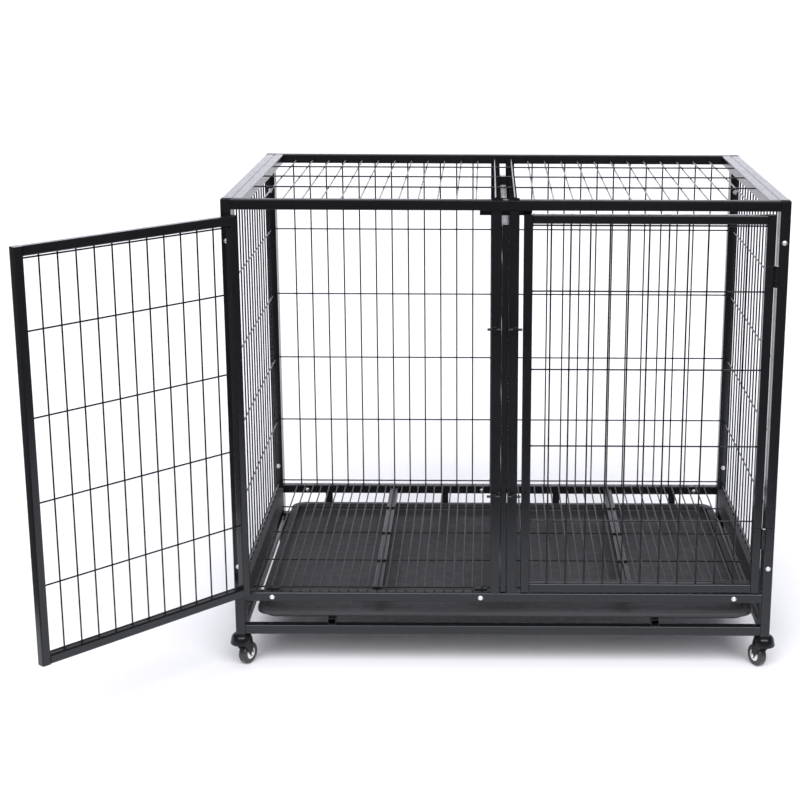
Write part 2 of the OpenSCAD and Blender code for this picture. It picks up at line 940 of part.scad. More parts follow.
// Domed head with a slot over the wheel, and a cheek down each side
module fork() {
    head_r = head_d / 2;
    cheek_w = (cheek_top_shares[1] - cheek_top_shares[0]) * head_r;
    color(black)
        difference() {
            union() {
                translate([0, 0, head_bottom])
                    rotate_extrude() {
                        square([head_r - head_round, head_h]);
                        square([head_r - head_foot_round, head_h - head_round]);
                        translate([0, head_foot_round])
                            square([head_r, head_h - head_round - head_foot_round]);
                        translate([head_r - head_round, head_h - head_round])
                            intersection() {
                                circle(r = head_round);
                                square(head_round);
                            }
                        translate([head_r - head_foot_round, head_foot_round])
                            intersection() {
                                circle(r = head_foot_round);
                                translate([0, -head_foot_round]) square(head_foot_round);
                            }
                    }
                for (side = [-1, 1])
                    translate([0, side * (cheek_x + cheek_t / 2), 0])
                        rotate([90, 0, 0])
                            linear_extrude(cheek_t, center = true)
                                hull() {
                                    translate([trail, wheel_d / 2]) circle(d = cheek_foot_d, $fn = 32);
                                    translate([cheek_top_shares[0] * head_r, head_bottom])
                                        square([cheek_w, head_foot_round]);
                                }
            }
            translate([trail, 0, wheel_d / 2]) hole_y(wheel_d / 2 + wheel_gap, wheel_w + cheek_gap);
            translate([0, 0, head_bottom + swivel_floor])
                cylinder(d = swivel_d + 2 * run_clear, h = caster_h);
            translate([trail, 0, wheel_d / 2]) hole_y(axle_d / 2 + run_clear, axle_len + 2 * over);
        }
}

module axle() {
    color(zinc)
        translate([trail, 0, wheel_d / 2]) {
            hole_y(axle_d / 2, axle_len);
            for (side = [-1, 1])
                translate([0, side * (axle_len + axle_head_t) / 2, 0]) hole_y(axle_head_d / 2, axle_head_t);
        }
}

// Tyre with rounded edges on a recessed hub
module wheel() {
    wheel_r = wheel_d / 2;
    bore_r = axle_d / 2 + run_clear;
    edge_r = wheel_r - tread_round - bore_r;
    translate([trail, 0, wheel_r])
        rotate([90, 0, 0])
            color(charcoal)
                rotate_extrude()
                    difference() {
                        translate([bore_r, -wheel_w / 2]) {
                            square([edge_r, wheel_w]);
                            translate([0, tread_round])
                                square([wheel_r - bore_r, wheel_w - 2 * tread_round]);
                            for (y = [tread_round, wheel_w - tread_round])
                                translate([edge_r, y]) circle(r = tread_round);
                        }
                        for (side = [-1, 1])
                            translate([hub_bush_d / 2, side * wheel_w / 2 - hub_recess])
                                square([(hub_d - hub_bush_d) / 2, 2 * hub_recess]);
                    }
}

module front_left_fork() {
    place_caster(0) fork();
}

module front_left_axle() {
    place_caster(0) axle();
}

module front_left_wheel() {
    place_caster(0) wheel();
}

module front_right_fork() {
    place_caster(1) fork();
}

module front_right_axle() {
    place_caster(1) axle();
}

module front_right_wheel() {
    place_caster(1) wheel();
}

module rear_left_fork() {
    place_caster(2) fork();
}

module rear_left_axle() {
    place_caster(2) axle();
}

module rear_left_wheel() {
    place_caster(2) wheel();
}

module rear_right_fork() {
    place_caster(3) fork();
}

module rear_right_axle() {
    place_caster(3) axle();
}

module rear_right_wheel() {
    place_caster(3) wheel();
}

front_posts();
rear_posts();
post_caps();
front_top_rail();
rear_top_rail();
front_sill();
rear_sill();
front_bottom_rail();
rear_bottom_rail();
front_centre_posts();
rear_centre_posts();
left_side_frame();
right_side_frame();
left_side_mesh();
right_side_mesh();
rear_mesh();
roof_frame();
roof_mesh();
roof_bar_clips();
centre_plate();
floor_beams();
left_floor_mesh();
right_floor_mesh();
floor_tabs();
floor_bolts();
post_bolts();
bolt_nuts();
tray_runners();
tray_stops();
post_hinge_leaves();
hinge_pins();
bolt_guides();
caster_stems();
left_door_frame();
left_door_mesh();
left_door_hinge_leaves();
left_door_keepers();
right_door_frame();
right_door_mesh();
right_door_hinge_leaves();
right_door_keepers();
left_upper_bolt();
left_lower_bolt();
right_upper_bolt();
right_lower_bolt();
tray();
divider_frame();
divider_mesh();
front_left_fork();
front_left_axle();
front_left_wheel();
front_right_fork();
front_right_axle();
front_right_wheel();
rear_left_fork();
rear_left_axle();
rear_left_wheel();
rear_right_fork();
rear_right_axle();
rear_right_wheel();
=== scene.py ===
import math

import bmesh
import bpy
from mathutils import Matrix, Vector


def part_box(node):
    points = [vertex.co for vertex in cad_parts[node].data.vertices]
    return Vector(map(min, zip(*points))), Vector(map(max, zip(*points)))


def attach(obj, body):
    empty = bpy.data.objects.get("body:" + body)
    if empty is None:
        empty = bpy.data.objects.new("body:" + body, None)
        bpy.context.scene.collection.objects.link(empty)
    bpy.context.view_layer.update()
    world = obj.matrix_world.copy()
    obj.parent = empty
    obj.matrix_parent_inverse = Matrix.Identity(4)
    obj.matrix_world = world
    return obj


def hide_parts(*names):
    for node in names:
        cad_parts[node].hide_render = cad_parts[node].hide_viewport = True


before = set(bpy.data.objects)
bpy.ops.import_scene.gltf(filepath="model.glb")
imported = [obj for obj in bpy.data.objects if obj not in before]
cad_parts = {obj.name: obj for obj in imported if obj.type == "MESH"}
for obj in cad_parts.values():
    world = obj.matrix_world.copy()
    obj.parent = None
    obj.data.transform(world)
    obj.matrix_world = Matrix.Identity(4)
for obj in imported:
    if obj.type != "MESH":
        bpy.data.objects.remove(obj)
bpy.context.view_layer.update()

IDENTITY = Matrix.Identity(4)
MIRROR_X = Matrix.Diagonal((-1, 1, 1, 1))

# Sizes of the crate, in metres, as the solids have them
TUBE = 0.020
SIDE_X = 0.550
REAR_Y = 0.3625
INNER_X = SIDE_X - TUBE
INNER_Y = REAR_Y - TUBE
POST_X = SIDE_X - TUBE / 2
POST_Y = REAR_Y - TUBE / 2
SILL_TOP = 0.167
RAIL_BOTTOM = 0.955
RAIL_Z = 0.965
BAY_HEIGHT = RAIL_BOTTOM - SILL_TOP
CENTRE_EDGE = 0.027

# Doors, built shut and turned about their hinges
HINGE_X = 0.52675
HINGE_Y = -0.367
DOOR_OPEN = math.radians(133)
DOOR_TUBE = 0.018
DOOR_Y = -REAR_Y + DOOR_TUBE / 2
TO_HINGE = Matrix.Translation((HINGE_X, HINGE_Y, 0))
LEFT_DOOR = MIRROR_X @ TO_HINGE @ Matrix.Rotation(DOOR_OPEN, 4, "Z") @ TO_HINGE.inverted()
DOORS = {"left": LEFT_DOOR, "right": IDENTITY}

# Rounding of the tubes' edges, and the open ends of the tray's runners
FRAME_EDGE = 0.0022
SILL_EDGE = 0.0034
RUNNER_EDGE = 0.0020
DOOR_EDGE = 0.0030
DIVIDER_EDGE = 0.0016
LEAST_EDGE = 0.0004
EDGE_STEPS = 4
RUNNER_WALL = 0.0012
MOUTH_DEPTH = 0.030
# A tube that differs by more than this from the frame's square tube can have a finish of its own
TUBE_DIFFERENCE = 0.001

# Wire mesh: pitch of the close wires, and spacing and first place of the rows across them. WELD_SINK is the
# part of a wire's thickness that lies between the middles of two welded layers.
WIRE_R = 0.0016
WIRE_SIDES = 10
CAD_WIRE_SIDES = 8
WELD_SINK = 0.8
WIRE_STEP = 2 * WIRE_R * WELD_SINK
WIRE_FLAT = WIRE_R * math.cos(math.pi / CAD_WIRE_SIDES)
MESH_PITCH = 0.0381
MESH_ROW = 0.1555
SIDE_START = 0.015
REAR_START = 0.010
DOOR_ROW = 0.158
BORDER_GAP = 0.004
ROOF_MIDDLE = 0.024
ROOF_ROW = 0.158
ROOF_SHIFT = 0.025
FLOOR_PITCH = 0.0197
FLOOR_ROW = 0.175
BORDER_INSET = 0.0095
FLOOR_BORDER = INNER_Y - BORDER_INSET

# Weld nuggets: their half sizes along X, Y and Z, and how far those at a wire's ends sit in
UPRIGHT_END_WELD = (0.0024, 0.0024, 0.0012)
LEVEL_END_WELD = (0.0012, 0.0024, 0.0024)
PANEL_WELD = (0.0019, 0.0011, 0.0019)
GRID_WELD = (0.0019, 0.0019, 0.0011)
WELD_IN = 0.0006
WELD_ROWS = 3
WELD_SIDES = 7

# Rounding of the small metal pieces
SOFT_EDGE = 0.0004
NUT_EDGE = 0.0003
PIN_EDGE = 0.0006
BOLT_EDGE = 0.0006
BOLT_EDGE_STEPS = 3
SOFT_EDGE_STEPS = 2
SOFT_ANGLE = 30
SAME_PLACE = 1e-6
FLAT_ANGLE = 0.5

# Edges sharper than this stay sharp in the shading, in degrees
SHARP_ANGLE = 38
WIRE_SHARP_ANGLE = 60

# Decimals to which points of a solid are taken as one, and solids are put in order
SAME_DECIMALS = 5
ORDER_DECIMALS = 4

# Post caps: inset and depth below the top, from the joint with the post upwards
CAP_PROFILE = ((0.0, 0.0020), (0.0, 0.0008), (0.0003, 0.0003), (0.0009, 0.0))

# Dome-headed bolts
HEAD_R = 0.005
HEAD_HEIGHT = 0.0035
DOME_R = 0.0044
DOME_HEIGHT = HEAD_HEIGHT - 0.0008
DOME_STEPS = 6
FLANGE_TOP = HEAD_HEIGHT - 0.0007
FLANGE_EDGE = HEAD_HEIGHT - 0.0001
FLANGE_CHAMFER = 0.0003
SHANK_R = 0.003
BOLT_SIDES = 28

# Tray: corner radius, width of the rim, thickness of the sheet, depth of the lip and its rounding
TRAY_R = 0.032
TRAY_RIM = 0.012
TRAY_WALL = 0.0025
TRAY_LIP = 0.009
TRAY_EDGE = 0.0012
TRAY_ROUND = 0.3 * TRAY_EDGE
TRAY_LIP_ROUND = 0.4 * TRAY_EDGE
TRAY_STEPS = 10

# Casters: place of each, and the turn of its trailing wheel in degrees
CASTERS = {
    "front_left": (-POST_X, -POST_Y, 62),
    "front_right": (POST_X, -POST_Y, 118),
    "rear_left": (-POST_X, POST_Y, 62),
    "rear_right": (POST_X, POST_Y, 118),
}
TRAIL = 0.020
# Housing of a caster, from its top down: height, middle, half length and half width
HOUSING = (
    (0.0727, 0, 0.0120, 0.0120),
    (0.0724, 0, 0.0150, 0.0150),
    (0.0716, 0, 0.0172, 0.0172),
    (0.0702, 0, 0.0189, 0.0189),
    (0.0684, 0, 0.0200, 0.0200),
    (0.0664, 0, 0.0208, 0.0208),
    (0.0610, 0, 0.0221, 0.0221),
    (0.0560, 0, 0.0230, 0.0230),
    (0.0526, 0, 0.02345, 0.02345),
    (0.0522, 0, 0.0232, 0.0232),
    (0.0520, 0, 0.0205, 0.0205),
    (0.0500, 0.0030, 0.0190, 0.0150),
    (0.0475, 0.0060, 0.0150, 0.0130),
)
HOUSING_SIDES = 40
WHEEL_R = 0.023
WHEEL_W = 0.0175
WHEEL_HALF = WHEEL_W / 2
WHEEL_SIDES = 48
AXLE_R = 0.003
AXLE_SIDES = 24
# Head of the axle: radius and height above the cheek
AXLE_HEAD = ((0.005, 0.0), (0.005, 0.0006), (0.004, 0.0013), (0.0, 0.0015))
CHEEK_IN = WHEEL_HALF + 0.001
CHEEK_T = 0.003
CHEEK_OUT = CHEEK_IN + CHEEK_T
CHEEK_TOP = ((-0.009, 0.0535), (0.0215, 0.0535))
# Edge of a cheek's outer face: share of the thickness that stays straight, and size of the outer face
CHEEK_STRAIGHT = 0.7
CHEEK_TAPER = 0.93
FOOT_R = AXLE_R + CHEEK_T
FOOT_START = 62
FOOT_SWEEP = 225
FOOT_STEPS = 12
# The tyre stays a hair above the floor
TREAD_R = WHEEL_R - 0.00002
TREAD_ROUND = 0.004
TREAD_STEPS = 6
BEAD_STEP = 0.001
BEAD_DEPTH = 0.0015
HUB_R = 0.0125
HUB_BORE = AXLE_R + 0.0001
HUB_BUSH = 0.0055
HUB_BUSH_FOOT = HUB_BUSH + 0.0004
HUB_WEB = 0.0025
HUB_RIM_FOOT = HUB_R - 0.0022
HUB_RIM = HUB_R - 0.0016
HUB_RIM_DEPTH = 0.0006

# Floor sheet: it ends in front of the crate and beside it, and spreads out behind it
SHEET_FRONT = -1.25
SHEET_LEFT = -1.5
SHEET_RIGHT = 1.1
SHEET_SPREAD = 1.0
SHEET_FAR = 60
SHEET_FAR_LEFT = -20
SHEET_FAR_RIGHT = 13

# Studio light: levels of the dome, and between which heights or depths of a direction each comes in
DOME_COLOUR = (0.91, 0.91, 1.0)
DOME_LIGHT = 0.12
TOP_LIGHT = 3.0
OVERHEAD = (0.93, 0.985)
BACK_LIGHT = 1.8
BEHIND = (-0.3, 0.5)
LOW_DOWN = (0.24, 0.38)
GROUND_LOW = 0.19
GROUND_HIGH = 0.17
GROUND = (-0.22, -0.10)
HORIZON = (-0.02, 0.02)
SUN_LIGHT = 2.3
SUN_HEIGHT = 42
SUN_SIDE = 24
SUN_WIDTH = 38

# Camera, fitted to the photo's frame corners
IMAGE_PX = 800
FOCAL_PX = 1690.6
CENTRE_PX = 482.62
SENSOR = 36.0
CAMERA_PITCH = math.radians(-15.2348)
CAMERA_ROLL = math.radians(-0.2485)
CAMERA_YAW = math.radians(0.1782)
CAMERA_PLACE = (-0.0365, -3.5982, 1.4586)


# Materials

WHITE = (1, 1, 1)
COOL = (0.91, 0.94, 1.0)
# Middle part of a noise's values, over which tone and roughness change
NOISE_LOW = 0.3
NOISE_HIGH = 0.7
NOISE_DETAIL = 3.0
RELIEF_DETAIL = 2.0
RELIEF_STRENGTH = 0.5


def object_noise(tree, scale, detail=NOISE_DETAIL):
    coord = tree.nodes.new("ShaderNodeTexCoord")
    noise = tree.nodes.new("ShaderNodeTexNoise")
    noise.inputs["Scale"].default_value = scale
    noise.inputs["Detail"].default_value = detail
    tree.links.new(coord.outputs["Object"], noise.inputs["Vector"])
    return noise.outputs["Fac"]


def add_colour(tree, shader, scale, dark, light):
    """A slow change between two tones."""
    ramp = tree.nodes.new("ShaderNodeValToRGB")
    stops = ((NOISE_LOW, dark), (NOISE_HIGH, light))
    for element, (position, colour) in zip(ramp.color_ramp.elements, stops):
        element.position = position
        element.color = (*colour, 1)
    tree.links.new(object_noise(tree, scale), ramp.inputs["Fac"])
    tree.links.new(ramp.outputs["Color"], shader.inputs["Base Color"])


def add_roughness(tree, shader, scale, smoothest, roughest):
    """A finer change of roughness."""
    node = tree.nodes.new("ShaderNodeMapRange")
    node.inputs["From Min"].default_value = NOISE_LOW
    node.inputs["From Max"].default_value = NOISE_HIGH
    node.inputs["To Min"].default_value = smoothest
    node.inputs["To Max"].default_value = roughest
    tree.links.new(object_noise(tree, scale), node.inputs["Value"])
    tree.links.new(node.outputs["Result"], shader.inputs["Roughness"])


def add_relief(tree, shader, scale, depth):
    """A fine relief, as deep as given in metres."""
    node = tree.nodes.new("ShaderNodeBump")
    node.inputs["Strength"].default_value = RELIEF_STRENGTH
    node.inputs["Distance"].default_value = depth
    tree.links.new(object_noise(tree, scale, RELIEF_DETAIL), node.inputs["Height"])
    tree.links.new(node.outputs["Normal"], shader.inputs["Normal"])


def surface(name, dark, light, rough, scales, relief, metallic=0.0, specular=0.5, tint=WHITE):
    """A material with varied tone and roughness and a fine relief; scales are those of the three."""
    mat = bpy.data.materials.new(name)
    mat.use_nodes = True
    tree = mat.node_tree
    shader = tree.nodes["Principled BSDF"]
    shader.inputs["Metallic"].default_value = metallic
    shader.inputs["Specular IOR Level"].default_value = specular
    shader.inputs["Specular Tint"].default_value = (*tint, 1)
    tone_scale, rough_scale, relief_scale = scales
    add_colour(tree, shader, tone_scale, dark, light)
    add_roughness(tree, shader, rough_scale, *rough)
    add_relief(tree, shader, relief_scale, relief)
    return mat


# Powder coat of the frame's tubes
COAT = surface(
    "powder_coat",
    dark=(0.0046, 0.0047, 0.0054),
    light=(0.0068, 0.0069, 0.0078),
    rough=(0.20, 0.26),
    scales=(7, 90, 1100),
    relief=0.00001,
    specular=0.52,
    tint=COOL,
)
# The same coat, less glossy, on the two long top rails
RAIL = surface(
    "rail_coat",
    dark=(0.0046, 0.0047, 0.0054),
    light=(0.0068, 0.0069, 0.0078),
    rough=(0.34, 0.42),
    scales=(7, 90, 1100),
    relief=0.00001,
    specular=0.22,
    tint=COOL,
)
# Side sills: the same coat, less glossy, with a lighter grey tone that is painted light, standing for the
# sheen on their faces
SATIN_PAINTED_LIGHT = surface(
    "satin_coat_painted_light",
    dark=(0.042, 0.042, 0.045),
    light=(0.052, 0.052, 0.0555),
    rough=(0.5, 0.6),
    scales=(7, 90, 1100),
    relief=0.00002,
    specular=0.2,
    tint=COOL,
)
# Middle bars of the roof and their clips
MATTE = surface(
    "matte_coat",
    dark=(0.0070, 0.0070, 0.0076),
    light=(0.0105, 0.0105, 0.0112),
    rough=(0.70, 0.85),
    scales=(9, 120, 1100),
    relief=0.00002,
    specular=0.0,
)
WIRE = surface(
    "coated_wire",
    dark=(0.0036, 0.0036, 0.0040),
    light=(0.0056, 0.0056, 0.0062),
    rough=(0.18, 0.27),
    scales=(9, 120, 1500),
    relief=0.00001,
    specular=0.38,
    tint=COOL,
)
FLOOR_WIRE = surface(
    "floor_wire",
    dark=(0.0036, 0.0036, 0.0040),
    light=(0.0056, 0.0056, 0.0062),
    rough=(0.3, 0.4),
    scales=(9, 120, 1500),
    relief=0.00001,
    specular=0.21,
    tint=COOL,
)
ZINC = surface(
    "zinc",
    dark=(0.84, 0.84, 0.86),
    light=(0.95, 0.95, 0.96),
    rough=(0.34, 0.48),
    scales=(160, 420, 1800),
    relief=0.00002,
    metallic=1.0,
)
TRAY = surface(
    "tray_plastic",
    dark=(0.024, 0.024, 0.0258),
    light=(0.032, 0.032, 0.0344),
    rough=(0.42, 0.55),
    scales=(5, 60, 700),
    relief=0.00006,
    specular=0.45,
    tint=COOL,
)
GLOSS = surface(
    "black_plastic",
    dark=(0.006, 0.006, 0.0066),
    light=(0.009, 0.009, 0.0098),
    rough=(0.12, 0.20),
    scales=(20, 150, 900),
    relief=0.00001,
    specular=0.3,
    tint=COOL,
)
CAP = surface(
    "cap_plastic",
    dark=(0.004, 0.004, 0.0044),
    light=(0.006, 0.006, 0.0066),
    rough=(0.60, 0.72),
    scales=(40, 200, 900),
    relief=0.00002,
    specular=0.2,
)
TYRE = surface(
    "tyre_rubber",
    dark=(0.014, 0.014, 0.015),
    light=(0.024, 0.024, 0.025),
    rough=(0.28, 0.40),
    scales=(40, 200, 1200),
    relief=0.00003,
    specular=0.6,
)
HUB = surface(
    "hub_plastic",
    dark=(0.88, 0.88, 0.87),
    light=(0.93, 0.93, 0.92),
    rough=(0.30, 0.44),
    scales=(60, 200, 900),
    relief=0.00002,
)
FLOOR = surface(
    "floor",
    dark=(0.855, 0.855, 0.885),
    light=(0.87, 0.87, 0.9),
    rough=(0.80, 0.95),
    scales=(1.5, 8, 60),
    relief=0.00002,
    specular=0.05,
)


# Mesh tools

def full_turn(steps):
    """Angles round a full turn."""
    return [2 * math.pi * i / steps for i in range(steps)]


def loft(bm, rings):
    """Joins rings of points, each closed on itself, and closes both ends."""
    rows = [[bm.verts.new(point) for point in ring] for ring in rings]
    count = len(rows[0])
    for row, after in zip(rows, rows[1:]):
        for i in range(count):
            j = (i + 1) % count
            bm.faces.new((row[i], row[j], after[j], after[i]))
    bm.faces.new(rows[0][::-1])
    bm.faces.new(rows[-1])


def rounded_outline(half_u, half_v, radius, steps=EDGE_STEPS):
    """Points round a rectangle with rounded corners."""
    points = []
    for sign_u, sign_v, start in ((1, 1, 0), (-1, 1, 90), (-1, -1, 180), (1, -1, 270)):
        for i in range(steps + 1):
            angle = math.radians(start + 90 * i / steps)
            u = sign_u * (half_u - radius) + radius * math.cos(angle)
            v = sign_v * (half_v - radius) + radius * math.sin(angle)
            points.append((u, v))
    return points


def add_tube(bm, low, high, edge, wall=0.0, place=IDENTITY):
    """A tube with rounded edges that fills a box along its longest side; with a wall its ends are open."""
    size = high - low
    axis = max(range(3), key=lambda i: size[i])
    u = (axis + 1) % 3
    v = (axis + 2) % 3
    middle = (low + high) / 2

    def ring(station, inset):
        radius = max(edge - inset, LEAST_EDGE)
        points = []
        for off_u, off_v in rounded_outline(size[u] / 2 - inset, size[v] / 2 - inset, radius):
            point = Vector((0, 0, 0))
            point[axis] = station
            point[u] = middle[u] + off_u
            point[v] = middle[v] + off_v
            points.append(place @ point)
        return points

    start = low[axis]
    end = high[axis]
    rings = [ring(start, 0), ring(end, 0)]
    if wall:
        near_mouth = [ring(start + MOUTH_DEPTH, wall), ring(start, wall)]
        far_mouth = [ring(end, wall), ring(end - MOUTH_DEPTH, wall)]
        rings = near_mouth + rings + far_mouth
    loft(bm, rings)


def turned(bm, place, radius, angle, height):
    """A new vertex at an angle round local Z."""
    return bm.verts.new(place @ Vector((radius * math.cos(angle), radius * math.sin(angle), height)))


def lathe(bm, profile, place, steps):
    """Turns (radius, height) points round local Z; an end closes in a point or in a flat face."""
    angles = full_turn(steps)
    rows = []
    for radius, height in profile:
        around = angles if radius else angles[:1]
        rows.append([turned(bm, place, radius, angle, height) for angle in around])
    for row, after in zip(rows, rows[1:]):
        for i in range(steps):
            j = (i + 1) % steps
            corners = (row[i % len(row)], row[j % len(row)], after[j % len(after)], after[i % len(after)])
            unique = list(dict.fromkeys(corners))
            if len(unique) > 2:
                bm.faces.new(unique)
    if len(rows[0]) > 1:
        bm.faces.new(rows[0][::-1])
    if len(rows[-1]) > 1:
        bm.faces.new(rows[-1])


def lathe_ring(bm, outline, place, steps):
    """Turns a closed (radius, height) outline round local Z."""
    rows = []
    for angle in full_turn(steps):
        rows.append([turned(bm, place, radius, angle, height) for radius, height in outline])
    count = len(outline)
    for row, after in zip(rows, rows[1:] + rows[:1]):
        for i in range(count):
            j = (i + 1) % count
            bm.faces.new((row[i], row[j], after[j], after[i]))


def both_sides(half_outline):
    """A (radius, height) outline and its mirror image in height, joined into one."""
    return half_outline + [(radius, -height) for radius, height in reversed(half_outline)]


def along(start, end):
    """A matrix that puts local Z along a line, from its start."""
    start = Vector(start)
    line = Vector(end) - start
    return Matrix.Translation(start) @ line.to_track_quat("Z", "Y").to_matrix().to_4x4()


def add_wire(bm, start, end, place=IDENTITY):
    """A round wire between two points."""
    start = place @ Vector(start)
    end = place @ Vector(end)
    line = along(start, end)
    section = [(WIRE_R * math.cos(angle), WIRE_R * math.sin(angle)) for angle in full_turn(WIRE_SIDES)]
    stations = (0, (end - start).length)
    loft(bm, [[line @ Vector((x, y, station)) for x, y in section] for station in stations])


def add_weld(bm, centre, half_size, place=IDENTITY):
    """A small weld nugget."""
    def vertex(x, y, z):
        offset = Vector((half_size[0] * x, half_size[1] * y, half_size[2] * z))
        return bm.verts.new(place @ (Vector(centre) + offset))

    top = vertex(0, 0, 1)
    bottom = vertex(0, 0, -1)
    angles = full_turn(WELD_SIDES)
    rings = []
    for i in range(1, WELD_ROWS):
        tilt = math.pi * i / WELD_ROWS
        across = math.sin(tilt)
        rings.append([vertex(across * math.cos(a), across * math.sin(a), math.cos(tilt)) for a in angles])
    for j in range(WELD_SIDES):
        k = (j + 1) % WELD_SIDES
        bm.faces.new((top, rings[0][j], rings[0][k]))
        bm.faces.new((bottom, rings[-1][k], rings[-1][j]))
        for ring, after in zip(rings, rings[1:]):
            bm.faces.new((ring[j], after[j], after[k], ring[k]))


def piece(name, bm, materials, body, nodes=(), sharp=SHARP_ANGLE, weighted=True):
    """Makes an object that rides on a body and stands for CAD nodes."""
    bmesh.ops.recalc_face_normals(bm, faces=bm.faces)
    mesh = bpy.data.meshes.new(name)
    bm.to_mesh(mesh)
    bm.free()
    for mat in materials:
        mesh.materials.append(mat)
    mesh.polygons.foreach_set("use_smooth", [True] * len(mesh.polygons))
    mesh.set_sharp_from_angle(angle=math.radians(sharp))
    obj = bpy.data.objects.new(name, mesh)
    bpy.context.scene.collection.objects.link(obj)
    if weighted:
        normals = obj.modifiers.new("normals", "WEIGHTED_NORMAL")
        normals.keep_sharp = True
    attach(obj, body)
    if nodes:
        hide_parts(*nodes)


def solids(node, undo=IDENTITY):
    """Boxes of the separate solids of a CAD node, as (lowest corner, highest corner)."""
    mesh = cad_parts[node].data
    known = {}
    ids = []
    for vertex in mesh.vertices:
        key = tuple(round(c, SAME_DECIMALS) for c in vertex.co)
        ids.append(known.setdefault(key, len(known)))
    root = list(range(len(known)))

    def find(i):
        while root[i] != i:
            root[i] = root[root[i]]
            i = root[i]
        return i

    for edge in mesh.edges:
        start, end = edge.vertices
        root[find(ids[start])] = find(ids[end])
    groups = {}
    for vertex in mesh.vertices:
        groups.setdefault(find(ids[vertex.index]), []).append(undo @ vertex.co)
    boxes = []
    for points in groups.values():
        low = Vector([min(point[i] for point in points) for i in range(3)])
        high = Vector([max(point[i] for point in points) for i in range(3)])
        boxes.append((low, high))
    return sorted(boxes, key=lambda box: tuple(round(c, ORDER_DECIMALS) for c in box[0]))


def softened(node, mat, body, width=SOFT_EDGE, steps=SOFT_EDGE_STEPS):
    """A copy of a CAD node's shape with its sharp edges rounded off."""
    bm = bmesh.new()
    bm.from_mesh(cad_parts[node].data)
    bmesh.ops.remove_doubles(bm, verts=bm.verts, dist=SAME_PLACE)
    bmesh.ops.dissolve_limit(bm, angle_limit=math.radians(FLAT_ANGLE), verts=bm.verts, edges=bm.edges)
    inner_edges = [edge for edge in bm.edges if len(edge.link_faces) == 2]
    edges = [edge for edge in inner_edges if edge.calc_face_angle(0) > math.radians(SOFT_ANGLE)]
    bmesh.ops.bevel(bm, geom=edges, offset=width, segments=steps, profile=0.5, affect="EDGES",
                    clamp_overlap=True)
    piece("soft_" + node, bm, [mat], body, [node])


# Tubes of the frame, the doors and the divider

def tubes(node, body, edge, place=IDENTITY, wall=0.0, main=COAT, other=None):
    """Tubes in the place of a node's solids; other is the finish of those that aren't the frame's tube."""
    bm = bmesh.new()
    for low, high in solids(node, place.inverted()):
        done = len(bm.faces)
        add_tube(bm, low, high, edge, wall, place)
        middle_size = sorted(high - low)[1]
        if other and abs(middle_size - TUBE) > TUBE_DIFFERENCE:
            bm.faces.ensure_lookup_table()
            for face in bm.faces[done:]:
                face.material_index = 1
    materials = [main, other] if other else [main]
    piece("tubes_" + node, bm, materials, body, [node])


PLAIN_TUBES = (
    "front_posts",
    "rear_posts",
    "rear_sill",
    "front_bottom_rail",
    "rear_bottom_rail",
    "front_centre_posts",
    "rear_centre_posts",
    "floor_beams",
    "tray_stops",
)
for node in PLAIN_TUBES:
    tubes(node, "frame", FRAME_EDGE)
tubes("front_sill", "frame", SILL_EDGE)
for node in ("front_top_rail", "rear_top_rail"):
    tubes(node, "frame", FRAME_EDGE, main=RAIL)
tubes("roof_frame", "frame", FRAME_EDGE, other=MATTE)
# The side frames' sills take the lighter grey coat, whose tone is painted light
for side in DOORS:
    tubes(side + "_side_frame", "frame", FRAME_EDGE, other=SATIN_PAINTED_LIGHT)
tubes("tray_runners", "frame", RUNNER_EDGE, wall=RUNNER_WALL)
for side, place in DOORS.items():
    tubes(side + "_door_frame", side + "_door", DOOR_EDGE, place)
tubes("divider_frame", "divider", DIVIDER_EDGE)


# Upright wire mesh

def spread(span, pitch):
    """Places of wires at a pitch, centred in a span and clear of its ends."""
    count = max(1, round(span / pitch) - 1)
    return [(i - (count - 1) / 2) * pitch for i in range(count)]


def rows_from(start, span, pitch):
    """Heights of rows at a pitch, from the first one up to the top of a span."""
    count = int((span - start - 2 * WIRE_R) // pitch) + 1
    return [start + i * pitch for i in range(count)]


def add_panel(bm, width, height, rows, place):
    """Round wires in two layers, with a weld nugget at each crossing and each end."""
    near = -WIRE_STEP / 2
    far = WIRE_STEP / 2
    columns = spread(width, MESH_PITCH)
    for x in columns:
        add_wire(bm, (x, near, 0), (x, near, height), place)
        for z in (WELD_IN, height - WELD_IN):
            add_weld(bm, (x, near, z), UPRIGHT_END_WELD, place)
    for z in rows:
        add_wire(bm, (-width / 2, far, z), (width / 2, far, z), place)
        for x in (-width / 2 + WELD_IN, width / 2 - WELD_IN):
            add_weld(bm, (x, far, z), LEVEL_END_WELD, place)
        for x in columns:
            add_weld(bm, (x, 0, z), PANEL_WELD, place)


def wires(node, bm, mat, body):
    piece("wires_" + node, bm, [mat], body, [node], sharp=WIRE_SHARP_ANGLE, weighted=False)


def side_meshes():
    width = 2 * REAR_Y - 4 * TUBE
    rows = rows_from(SIDE_START, BAY_HEIGHT, MESH_ROW)
    right = Matrix.Translation((POST_X, 0, SILL_TOP)) @ Matrix.Rotation(math.pi / 2, 4, "Z")
    for side, flip in (("left", MIRROR_X), ("right", IDENTITY)):
        bm = bmesh.new()
        add_panel(bm, width, BAY_HEIGHT, rows, flip @ right)
        wires(side + "_side_mesh", bm, WIRE, "frame")


def rear_mesh():
    width = INNER_X - CENTRE_EDGE
    rows = rows_from(REAR_START, BAY_HEIGHT, MESH_ROW)
    right = Matrix.Translation((CENTRE_EDGE + width / 2, POST_Y, SILL_TOP))
    bm = bmesh.new()
    for flip in (MIRROR_X, IDENTITY):
        add_panel(bm, width, BAY_HEIGHT, rows, flip @ right)
    wires("rear_mesh", bm, WIRE, "frame")


